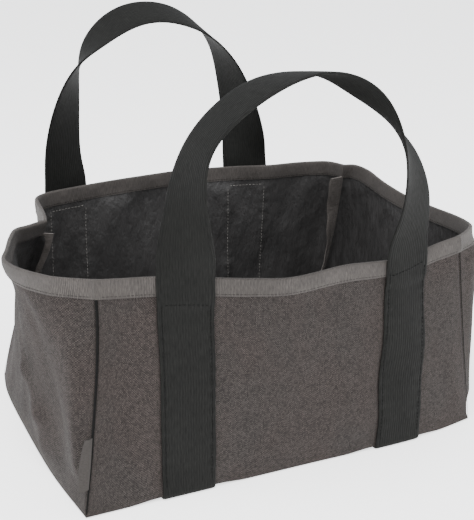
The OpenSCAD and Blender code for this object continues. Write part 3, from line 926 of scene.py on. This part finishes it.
def disc(name, edge, height, thick, mats, rings=26):
    """A sheet inside an outline: its rings shrink towards the middle."""
    count = len(edge)
    n = rings * count
    verts, centres = [], []
    for sign in (1, -1):
        for share in np.linspace(1, 0, rings + 1)[:-1]:
            ring = edge * share
            verts.append(np.column_stack([ring, height(ring[:, 0], ring[:, 1]) + sign * thick / 2]))
        centres.append([0, 0, height(np.zeros(1), np.zeros(1))[0] + sign * thick / 2])
    verts = np.concatenate(verts + [centres])
    idx = np.arange(n).reshape(rings, count)
    nxt = np.roll(idx, -1, axis=1)
    faces, slots = [], []
    for j in range(rings - 1):
        band = np.stack([idx[j], nxt[j], nxt[j + 1], idx[j + 1]], axis=-1)
        faces += band.tolist() + (band[:, ::-1] + n).tolist()
        slots += [0] * count + [1] * count
    for i in range(count):
        faces.append([idx[-1, i], nxt[-1, i], 2 * n])
        faces.append([nxt[-1, i] + n, idx[-1, i] + n, 2 * n + 1])
        faces.append([idx[0, i] + n, nxt[0, i] + n, nxt[0, i], idx[0, i]])
        slots += [0, 1, 0]
    return make(name, verts, faces, verts[:, :2], mats, slots)


def bottom_height(x, y):
    return FLOOR_Z - sag_at(x) + CLOTH_T / 2


def cover_height(x, y):
    """The cover is wavy over the board, and dips near its edge."""
    wave = 0.25 * np.sin(x / 31 + 1) * np.sin(y / 27) + 0.15 * np.sin(x / 13) * np.sin(y / 17 + 2)
    edge = np.minimum(195 - np.abs(x), 147 - np.abs(y))
    return 7.6 + wave * smooth(edge, 0, 20) - 0.8 * np.exp(-((edge - 6) / 1.6) ** 2)


def base_binding():
    """Tape that binds the base seam, pressed flat beside the board: a closed ring."""
    share = np.linspace(0, 1, 6)
    edge, inner = outline(CLOTH_T + 2.0)[:, None], outline(8.0)[:, None]
    flat = edge * (1 - share)[:, None] + inner * share[:, None]
    count, wide = flat.shape[:2]
    lift = 4.6 + 1.2 * np.sin(math.pi * share) + 0.25 * np.sin(np.arange(count) / 3.1)[:, None]
    layers = [np.dstack([flat, z]).reshape(-1, 3) for z in (lift, np.full(lift.shape, 4.0))]
    top = np.arange(count * wide).reshape(count, wide)
    top = np.concatenate([top, top[:1]])
    low = top + count * wide
    edges = [strip(top[:, 0], low[:, 0]), strip(low[:, -1], top[:, -1])]
    faces = np.concatenate([quads(top), quads(low)[:, ::-1]] + edges)
    uv = grid(run_of(flat[:, 2]), share * 6).reshape(-1, 2)
    ob = make("base_seam_binding", np.concatenate(layers), faces, np.concatenate([uv, uv]), [tape])
    make_outward(ob)
    return ob


bottom = disc("bottom_cloth", outline(CLOTH_T * 0.8), bottom_height, CLOTH_T, [coat, heather])
on_bag(bottom, ["bottom_panel"])
cover = disc("base_cover_cloth", outline(8.5), cover_height, 1.2, [cover_coat, cover_coat], 60)
on_bag(cover, ["base_cover"])
on_bag(base_binding(), ["base_seam_tape"])

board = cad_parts["base_board"]
board.data.materials.clear()
board.data.materials.append(board_mat)


# ---------- side label ----------


def side_label():
    """A folded tab in the front left seam."""
    low_t, fold = 0.12, 0.8  # share of the wall below the tab, and length of its rounded fold
    up = np.linspace(0, 1, 24)
    root = plain(FRONT, 0 * up, low_t + up * LABEL_H / WALL_H) + unit(np.array([-1.0, -1.0, 0])) * 0.2
    out = unit(np.array([-0.97, -0.24, 0]))
    thick = unit(np.array([0.24, -0.97, 0]))
    k = np.linspace(0, 1, 14)
    turn = np.linspace(-math.pi / 2, math.pi / 2, 9)[1:-1]
    leg = np.column_stack([k * (LABEL_W - fold), 0.35 + 0.55 * np.sin(math.pi * k)])
    tip = np.column_stack([LABEL_W - fold + fold * np.cos(turn), 0.45 * np.sin(turn)])
    section = np.concatenate([leg * (1, -1), tip, leg[::-1]])
    droop = -0.9 * np.sin(up * math.pi * 0.9)[:, None] * (section[:, 0] / LABEL_W) ** 2
    depth = section[:, 0] * (0.55 + 0.42 * np.sin(math.pi * np.clip(0.22 + up * 0.72, 0, 1)))[:, None]
    mid = root[:, None] + out * depth[..., None] + thick * (section[:, 1] + droop)[..., None]
    face = unit(np.cross(unit(np.gradient(mid, axis=1)), np.array([0, 0, 1.0])))
    verts, faces, _, uv = slab(mid + face * 0.2, mid - face * 0.2, grid(up * LABEL_H, run_of(section)))
    ob = make("side_label_tab", verts, faces, uv, [label_mat])
    make_outward(ob)
    return ob


label = side_label()
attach(label, "label_tab")
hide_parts("side_label")

# ---------- floor, light and camera ----------

floor_mat = bpy.data.materials.new("studio_floor")
floor_mat.use_nodes = True
floor_shader = floor_mat.node_tree.nodes["Principled BSDF"]
floor_shader.inputs["Base Color"].default_value = (0.93, 0.93, 0.93, 1)
floor_shader.inputs["Emission Color"].default_value = (1, 1, 1, 1)
floor_shader.inputs["Emission Strength"].default_value = 1.6
floor_shader.inputs["Roughness"].default_value = 0.9
floor_shader.inputs["Specular IOR Level"].default_value = 0.1
floor_mesh = bpy.data.meshes.new("studio_floor")
floor_mesh.from_pydata([(-9, -9, 0), (9, -9, 0), (9, 9, 0), (-9, 9, 0)], [], [(0, 1, 2, 3)])
floor_mesh.materials.append(floor_mat)
floor = bpy.data.objects.new("studio_floor", floor_mesh)
bpy.context.scene.collection.objects.link(floor)

world = bpy.data.worlds.new("studio")
world.use_nodes = True
world.node_tree.nodes["Background"].inputs[0].default_value = (0.95, 0.97, 1.0, 1)
world.node_tree.nodes["Background"].inputs[1].default_value = 1.3
bpy.context.scene.world = world


def soft_light(name, place, target, size, watts, colour=(1, 1, 1)):
    lamp = bpy.data.lights.new(name, "AREA")
    lamp.shape, lamp.size, lamp.energy, lamp.color = "DISK", size, watts, colour
    ob = bpy.data.objects.new(name, lamp)
    ob.location = place
    ob.rotation_euler = (Vector(target) - Vector(place)).to_track_quat("-Z", "Y").to_euler()
    bpy.context.scene.collection.objects.link(ob)


soft_light("key", (-0.5, -1.7, 1.95), (0, 0, 0.1), 1.2, 31)
soft_light("top", (-0.8, -0.35, 2.1), (0, 0, 0.1), 1.4, 46)
soft_light("fill", (1.7, -0.9, 1.1), (0, 0, 0.12), 1.2, 12)

lens = bpy.data.cameras.new("camera")
lens.sensor_width, lens.lens = 36.0, 75.5
lens.clip_start, lens.clip_end = 0.05, 30.0
camera = bpy.data.objects.new("camera", lens)
camera.location = (-0.442, -0.928, 0.502)
yaw, pitch, roll = math.radians(26.5), math.radians(19.0), math.radians(0.4)
aim = Euler((math.pi / 2 - pitch, 0, -yaw)).to_matrix() @ Euler((0, 0, roll)).to_matrix()
camera.rotation_euler = aim.to_euler()
bpy.context.scene.collection.objects.link(camera)
bpy.context.scene.camera = camera
